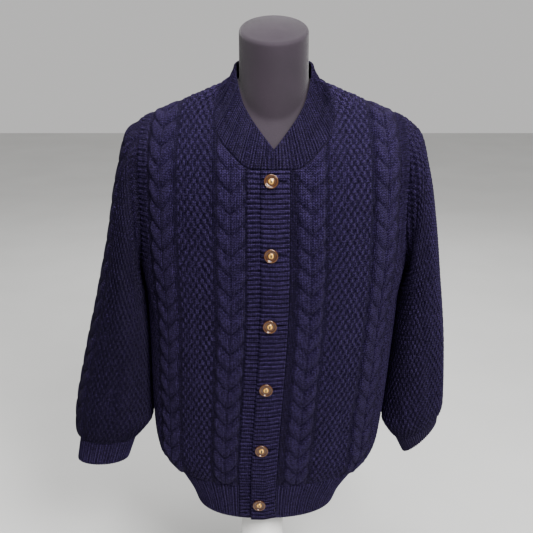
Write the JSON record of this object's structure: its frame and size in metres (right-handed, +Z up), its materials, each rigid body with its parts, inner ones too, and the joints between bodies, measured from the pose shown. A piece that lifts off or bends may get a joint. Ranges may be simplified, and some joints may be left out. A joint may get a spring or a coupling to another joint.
{
  "type": "button cardigan on a dress form",
  "caption": "Navy cable-knit button cardigan with ribbed neckband, front bands, cuffs and hem, worn by a limbless dress form on a post and round base",
  "frame": {"origin": "centre of the underside of the stand's round base", "axes": "+Z up; the garment's front faces -Y; +X is the wearer's left"},
  "size_m": [0.6495, 0.3, 1.0881],
  "materials": {
    "knit": "matt navy wool-blend knit",
    "button": "glossy amber and dark-striped resin",
    "jersey": "dark grey stretch jersey",
    "white_paint": "satin white"
  },
  "bodies": {
    "root": {"back": "knit", "front_left": "knit", "front_right": "knit", "sleeve_left": "knit", "sleeve_right": "knit", "cuff_left": "knit", "cuff_right": "knit", "hem_rib_back": "knit", "hem_rib_left": "knit", "hem_rib_right": "knit", "neckband": "knit", "buttonhole_band": "knit", "button_band": "knit", "button_1": "button", "button_2": "button", "button_3": "button", "button_4": "button", "button_5": "button", "button_6": "button", "dress_form": "jersey", "stand_post": "white_paint", "stand_base": "white_paint"}
  },
  "joints": []
}
